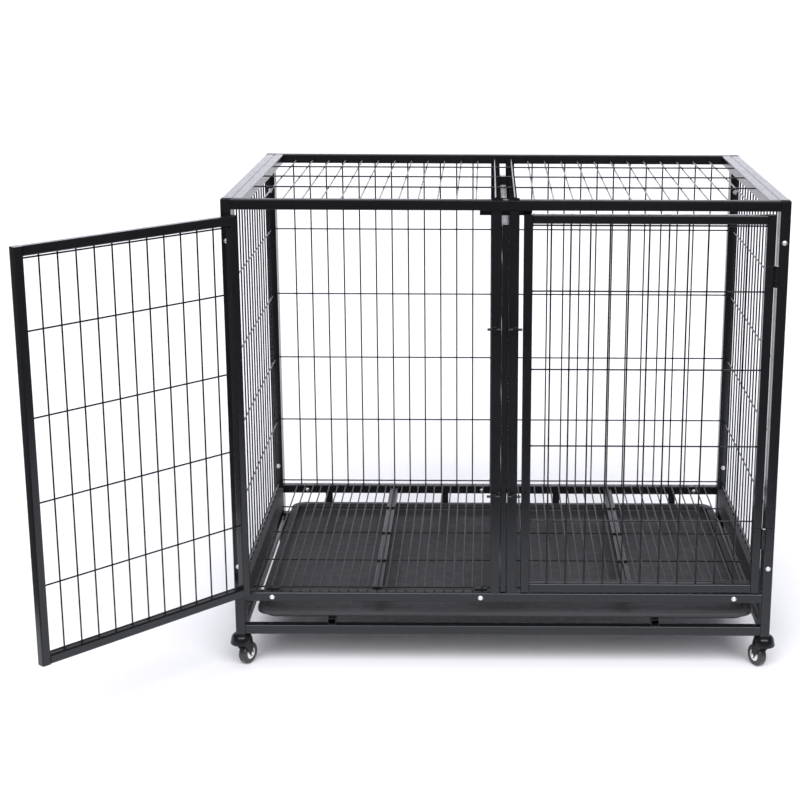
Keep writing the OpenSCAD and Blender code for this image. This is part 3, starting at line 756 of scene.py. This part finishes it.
def door_mesh(side, place):
    """The mesh between a door's tubes, with a border wire along its top and bottom."""
    bars = sorted(solids(side + "_door_frame", place.inverted()), key=lambda box: box[0].x)
    first_stile = bars[0]
    last_stile = bars[-1]
    x_start = first_stile[1].x
    x_end = last_stile[0].x
    bottom = first_stile[0].z + DOOR_TUBE
    width = x_end - x_start
    height = first_stile[1].z - DOOR_TUBE - bottom
    rows = [BORDER_GAP] + [z + height / 2 for z in spread(height, DOOR_ROW)] + [height - BORDER_GAP]
    bm = bmesh.new()
    add_panel(bm, width, height, rows, place @ Matrix.Translation(((x_start + x_end) / 2, DOOR_Y, bottom)))
    wires(side + "_door_mesh", bm, WIRE, side + "_door")


def divider_mesh():
    low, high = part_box("divider_mesh")
    height = high.z - low.z
    rows = [z + height / 2 for z in spread(height, MESH_ROW)]
    middle = Matrix.Translation((0, (low.y + high.y) / 2, low.z))
    bm = bmesh.new()
    add_panel(bm, high.y - low.y, height, rows, middle @ Matrix.Rotation(math.pi / 2, 4, "Z"))
    wires("divider_mesh", bm, WIRE, "divider")


side_meshes()
rear_mesh()
for side, place in DOORS.items():
    door_mesh(side, place)
divider_mesh()


# Roof and floor wires

def add_grid(bm, lengthwise, crosswise, z_long, z_cross, half_length, x_ends):
    """Front to back wires at places in X, and cross wires at places in Y, welded where they meet."""
    for x in lengthwise:
        add_wire(bm, (x, -half_length, z_long), (x, half_length, z_long))
        for y in crosswise:
            add_weld(bm, (x, y, (z_long + z_cross) / 2), GRID_WELD)
    for y in crosswise:
        add_wire(bm, (x_ends[0], y, z_cross), (x_ends[1], y, z_cross))


def roof_mesh():
    """The roof's mesh, and two wires that lie on its middle bars."""
    low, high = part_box("roof_mesh")
    half_width = high.x - ROOF_MIDDLE
    middle = high.x - half_width / 2
    lengthwise = [sign * (middle + x) for x in spread(half_width, MESH_PITCH) for sign in (-1, 1)]
    crosswise = [ROOF_SHIFT + i * ROOF_ROW for i in (-1, 0, 1)]
    z_cross = RAIL_Z + WIRE_STEP
    bm = bmesh.new()
    for x in (-MESH_PITCH / 2, MESH_PITCH / 2):
        add_wire(bm, (x, -INNER_Y, z_cross), (x, INNER_Y, z_cross))
    add_grid(bm, lengthwise, crosswise, RAIL_Z, z_cross, INNER_Y, (low.x, high.x))
    wires("roof_mesh", bm, WIRE, "frame")


def floor_mesh(side):
    low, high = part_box(side + "_floor_mesh")
    lengthwise = [(low.x + high.x) / 2 + x for x in spread(high.x - low.x, FLOOR_PITCH)]
    crosswise = (-FLOOR_BORDER, -FLOOR_ROW, 0, FLOOR_ROW, FLOOR_BORDER)
    z_cross = SILL_TOP + WIRE_FLAT
    bm = bmesh.new()
    add_grid(bm, lengthwise, crosswise, z_cross + WIRE_STEP, z_cross, high.y, (low.x, high.x))
    wires(side + "_floor_mesh", bm, FLOOR_WIRE, "frame")


roof_mesh()
for side in DOORS:
    floor_mesh(side)


# Small metal pieces and post caps

def post_caps():
    half = TUBE / 2
    bm = bmesh.new()
    for low, high in solids("post_caps"):
        x = (low.x + high.x) / 2
        y = (low.y + high.y) / 2
        rings = []
        for inset, depth in CAP_PROFILE:
            outline = rounded_outline(half - inset, half - inset, FRAME_EDGE - inset)
            rings.append([Vector((x + u, y + v, high.z - depth)) for u, v in outline])
        loft(bm, rings)
    piece("caps_post_caps", bm, [CAP], "frame", ["post_caps"])


def dome_bolts(node):
    """Bolts along Y: a domed head with a thin flange, and a shank."""
    head = [(0, 0)]
    for i in range(1, DOME_STEPS + 1):
        angle = math.radians(90 * i / DOME_STEPS)
        head.append((DOME_R * math.sin(angle), DOME_HEIGHT * (1 - math.cos(angle))))
    head.append((HEAD_R, FLANGE_TOP))
    head.append((HEAD_R, FLANGE_EDGE))
    head.append((HEAD_R - FLANGE_CHAMFER, HEAD_HEIGHT))
    head.append((SHANK_R, HEAD_HEIGHT))
    bm = bmesh.new()
    for low, high in solids(node):
        x = (low.x + high.x) / 2
        z = (low.z + high.z) / 2
        head_in_front = node == "floor_bolts" or low.y < 0
        start, end = (low.y, high.y) if head_in_front else (high.y, low.y)
        shank = [(SHANK_R, abs(end - start))]
        lathe(bm, head + shank, along((x, start, z), (x, end, z)), BOLT_SIDES)
    piece("domes_" + node, bm, [ZINC], "frame", [node])


post_caps()
softened("roof_bar_clips", MATTE, "frame")
for node in ("centre_plate", "floor_tabs", "post_hinge_leaves", "bolt_guides"):
    softened(node, COAT, "frame")
for side in DOORS:
    softened(side + "_door_hinge_leaves", COAT, side + "_door")
    softened(side + "_door_keepers", COAT, side + "_door")
    for level in ("upper", "lower"):
        node = f"{side}_{level}_bolt"
        softened(node, COAT, node, BOLT_EDGE, BOLT_EDGE_STEPS)
softened("bolt_nuts", ZINC, "frame", NUT_EDGE)
softened("hinge_pins", ZINC, "frame", PIN_EDGE)
softened("caster_stems", COAT, "frame")
dome_bolts("floor_bolts")
dome_bolts("post_bolts")


# Tray

def tray():
    """A pressed pan in one sheet, with a rounded rim that turns down in a lip."""
    low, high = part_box("tray")
    x = (low.x + high.x) / 2
    y = (low.y + high.y) / 2
    half_x = (high.x - low.x) / 2
    half_y = (high.y - low.y) / 2
    base = low.z
    top = high.z
    floor_z = base + TRAY_WALL
    under_rim = top - TRAY_WALL
    lip = top - TRAY_LIP
    inside = TRAY_RIM + TRAY_WALL
    inner_r = TRAY_R - TRAY_WALL
    # Inset, height and corner radius, from the underside round to the inner floor
    profile = (
        (TRAY_RIM, base, TRAY_R),
        (TRAY_RIM, under_rim, TRAY_R),
        (TRAY_WALL, under_rim, inner_r),
        (TRAY_WALL, lip, inner_r),
        (TRAY_EDGE, lip, TRAY_R),
        (TRAY_LIP_ROUND, lip + TRAY_ROUND, TRAY_R),
        (0, lip + TRAY_EDGE, TRAY_R),
        (0, top - TRAY_EDGE, TRAY_R),
        (TRAY_ROUND, top - TRAY_ROUND, TRAY_R),
        (TRAY_EDGE, top, TRAY_R),
        (inside - TRAY_EDGE, top, TRAY_R),
        (inside - TRAY_ROUND, top - TRAY_ROUND, inner_r),
        (inside, top - TRAY_EDGE, inner_r),
        (inside, floor_z + TRAY_EDGE, inner_r),
        (inside + TRAY_EDGE, floor_z, inner_r),
    )
    rings = []
    for inset, z, radius in profile:
        outline = rounded_outline(half_x - inset, half_y - inset, radius, TRAY_STEPS)
        rings.append([Vector((x + u, y + v, z)) for u, v in outline])
    bm = bmesh.new()
    loft(bm, rings)
    piece("pan_tray", bm, [TRAY], "tray", ["tray"])


tray()


# Casters

def cheek_outline():
    """Side view of a cheek: straight on top, and round the axle at its foot."""
    outline = list(CHEEK_TOP)
    for i in range(FOOT_STEPS + 1):
        angle = math.radians(FOOT_START - FOOT_SWEEP * i / FOOT_STEPS)
        outline.append((TRAIL + FOOT_R * math.cos(angle), WHEEL_R + FOOT_R * math.sin(angle)))
    return outline


def add_cheek(bm, side, place):
    """One cheek of the fork, a little smaller on its outer face."""
    outline = cheek_outline()
    middle_x = sum(x for x, z in outline) / len(outline)
    middle_z = sum(z for x, z in outline) / len(outline)
    straight_end = CHEEK_IN + CHEEK_STRAIGHT * CHEEK_T
    rings = []
    for y, scale in ((CHEEK_IN, 1.0), (straight_end, 1.0), (CHEEK_OUT, CHEEK_TAPER)):
        points = [(middle_x + (x - middle_x) * scale, middle_z + (z - middle_z) * scale) for x, z in outline]
        rings.append([place @ Vector((x, side * y, z)) for x, z in points])
    loft(bm, rings)


def caster_fork(name, place):
    angles = full_turn(HOUSING_SIDES)
    rings = []
    for z, middle, half_x, half_y in HOUSING:
        section = [(middle + half_x * math.cos(a), half_y * math.sin(a)) for a in angles]
        rings.append([place @ Vector((x, y, z)) for x, y in section])
    bm = bmesh.new()
    loft(bm, rings)
    for side in (-1, 1):
        add_cheek(bm, side, place)
    piece("fork_" + name, bm, [GLOSS], name + "_swivel", [name + "_fork"])


def caster_axle(name, axle):
    far_end = [(AXLE_R, CHEEK_OUT)] + [(radius, CHEEK_OUT + height) for radius, height in AXLE_HEAD]
    near_end = [(radius, -height) for radius, height in reversed(far_end)]
    bm = bmesh.new()
    lathe(bm, near_end + far_end, axle, AXLE_SIDES)
    piece("pin_" + name, bm, [ZINC], name + "_swivel", [name + "_axle"])


def caster_tyre(name, axle):
    shoulder = TREAD_R - TREAD_ROUND
    half_outline = [
        (HUB_R, -WHEEL_HALF + BEAD_DEPTH),
        (HUB_R + BEAD_STEP, -WHEEL_HALF),
        (shoulder, -WHEEL_HALF),
    ]
    for i in range(1, TREAD_STEPS + 1):
        angle = math.radians(90 * i / TREAD_STEPS)
        radius = shoulder + TREAD_ROUND * math.sin(angle)
        height = -WHEEL_HALF + TREAD_ROUND - TREAD_ROUND * math.cos(angle)
        half_outline.append((radius, height))
    bm = bmesh.new()
    lathe_ring(bm, both_sides(half_outline), axle, WHEEL_SIDES)
    piece("tyre_" + name, bm, [TYRE], name + "_wheel", [name + "_wheel"])


def caster_hub(name, axle):
    """Bush, web and rim of a wheel."""
    web = -WHEEL_HALF + HUB_WEB
    rim = -WHEEL_HALF + HUB_RIM_DEPTH
    half_outline = [
        (HUB_BORE, -WHEEL_HALF),
        (HUB_BUSH, -WHEEL_HALF),
        (HUB_BUSH_FOOT, web),
        (HUB_RIM_FOOT, web),
        (HUB_RIM, rim),
        (HUB_R, rim),
    ]
    bm = bmesh.new()
    lathe_ring(bm, both_sides(half_outline), axle, WHEEL_SIDES)
    piece("hub_" + name, bm, [HUB], name + "_wheel")


for name, (x, y, turn) in CASTERS.items():
    place = Matrix.Translation((x, y, 0)) @ Matrix.Rotation(math.radians(turn), 4, "Z")
    axle = place @ Matrix.Translation((TRAIL, 0, WHEEL_R)) @ Matrix.Rotation(math.pi / 2, 4, "X")
    caster_fork(name, place)
    caster_axle(name, axle)
    caster_tyre(name, axle)
    caster_hub(name, axle)


# Stage, light and camera

def floor_sheet():
    corners = (
        (SHEET_LEFT, SHEET_FRONT, 0),
        (SHEET_RIGHT, SHEET_FRONT, 0),
        (SHEET_RIGHT, SHEET_SPREAD, 0),
        (SHEET_FAR_RIGHT, SHEET_FAR, 0),
        (SHEET_FAR_LEFT, SHEET_FAR, 0),
        (SHEET_LEFT, SHEET_SPREAD, 0),
    )
    bm = bmesh.new()
    bm.faces.new([bm.verts.new(corner) for corner in corners])
    sheet = bpy.data.meshes.new("floor")
    bm.to_mesh(sheet)
    bm.free()
    sheet.materials.append(FLOOR)
    floor = bpy.data.objects.new("floor", sheet)
    bpy.context.scene.collection.objects.link(floor)


def smooth_step(tree, value, limits, low, high):
    """Goes smoothly from one level to another between two limits of a value."""
    node = tree.nodes.new("ShaderNodeMapRange")
    node.interpolation_type = "SMOOTHSTEP"
    node.inputs["From Min"].default_value = limits[0]
    node.inputs["From Max"].default_value = limits[1]
    node.inputs["To Min"].default_value = low
    node.inputs["To Max"].default_value = high
    tree.links.new(value, node.inputs["Value"])
    return node.outputs["Result"]


def combine(tree, operation, first, second):
    node = tree.nodes.new("ShaderNodeMath")
    node.operation = operation
    tree.links.new(first, node.inputs[0])
    tree.links.new(second, node.inputs[1])
    return node.outputs["Value"]


def dome_level(tree):
    """Light of each direction: a soft dome, bright overhead and low down behind the crate, and dim ground."""
    coord = tree.nodes.new("ShaderNodeTexCoord")
    split = tree.nodes.new("ShaderNodeSeparateXYZ")
    tree.links.new(coord.outputs["Generated"], split.inputs["Vector"])
    depth = split.outputs["Y"]
    height = split.outputs["Z"]
    behind = smooth_step(tree, depth, BEHIND, 0, 1)
    low_down = smooth_step(tree, height, LOW_DOWN, BACK_LIGHT, 0)
    back = combine(tree, "MULTIPLY", behind, low_down)
    overhead = smooth_step(tree, height, OVERHEAD, DOME_LIGHT, TOP_LIGHT)
    sky = combine(tree, "ADD", back, overhead)
    ground = smooth_step(tree, height, GROUND, GROUND_LOW, GROUND_HIGH)
    upward = smooth_step(tree, height, HORIZON, 0, 1)
    downward = smooth_step(tree, height, HORIZON, 1, 0)
    sky_part = combine(tree, "MULTIPLY", sky, upward)
    ground_part = combine(tree, "MULTIPLY", ground, downward)
    return combine(tree, "ADD", sky_part, ground_part)


def studio_world():
    """The dome lights the crate, and the camera sees plain white behind it."""
    world = bpy.data.worlds.new("studio")
    bpy.context.scene.world = world
    world.use_nodes = True
    tree = world.node_tree
    tree.nodes.clear()
    dome = tree.nodes.new("ShaderNodeBackground")
    dome.inputs["Color"].default_value = (*DOME_COLOUR, 1)
    tree.links.new(dome_level(tree), dome.inputs["Strength"])
    white = tree.nodes.new("ShaderNodeBackground")
    white.inputs["Color"].default_value = (*WHITE, 1)
    path = tree.nodes.new("ShaderNodeLightPath")
    mix = tree.nodes.new("ShaderNodeMixShader")
    output = tree.nodes.new("ShaderNodeOutputWorld")
    tree.links.new(path.outputs["Is Camera Ray"], mix.inputs["Fac"])
    tree.links.new(dome.outputs["Background"], mix.inputs[1])
    tree.links.new(white.outputs["Background"], mix.inputs[2])
    tree.links.new(mix.outputs["Shader"], output.inputs["Surface"])


def soft_sun(name, azimuth):
    """A broad far light; its azimuth is measured from the front, to the right."""
    light = bpy.data.lights.new(name, "SUN")
    light.energy = SUN_LIGHT
    light.angle = math.radians(SUN_WIDTH)
    sun = bpy.data.objects.new(name, light)
    bpy.context.scene.collection.objects.link(sun)
    turn = math.radians(azimuth)
    rise = math.radians(SUN_HEIGHT)
    source = Vector((math.sin(turn) * math.cos(rise), -math.cos(turn) * math.cos(rise), math.sin(rise)))
    sun.rotation_euler = (-source).to_track_quat("-Z", "Y").to_euler()


def photo_camera():
    roll = Matrix.Rotation(CAMERA_ROLL, 3, "Y")
    pitch = Matrix.Rotation(CAMERA_PITCH, 3, "X")
    yaw = Matrix.Rotation(CAMERA_YAW, 3, "Z")
    view = roll @ pitch @ yaw
    right = view @ Vector((1, 0, 0))
    ahead = view @ Vector((0, 1, 0))
    up = view @ Vector((0, 0, 1))
    lens = bpy.data.cameras.new("camera")
    lens.sensor_fit = "HORIZONTAL"
    lens.sensor_width = SENSOR
    lens.lens = FOCAL_PX / IMAGE_PX * SENSOR
    lens.shift_x = (IMAGE_PX / 2 - CENTRE_PX) / IMAGE_PX
    camera = bpy.data.objects.new("camera", lens)
    bpy.context.scene.collection.objects.link(camera)
    axes = Matrix((right, up, -ahead)).transposed()
    camera.matrix_world = Matrix.Translation(CAMERA_PLACE) @ axes.to_4x4()
    bpy.context.scene.camera = camera


floor_sheet()
studio_world()
soft_sun("left_light", -SUN_SIDE)
soft_sun("right_light", SUN_SIDE)
photo_camera()
bpy.context.scene.view_settings.view_transform = "Standard"
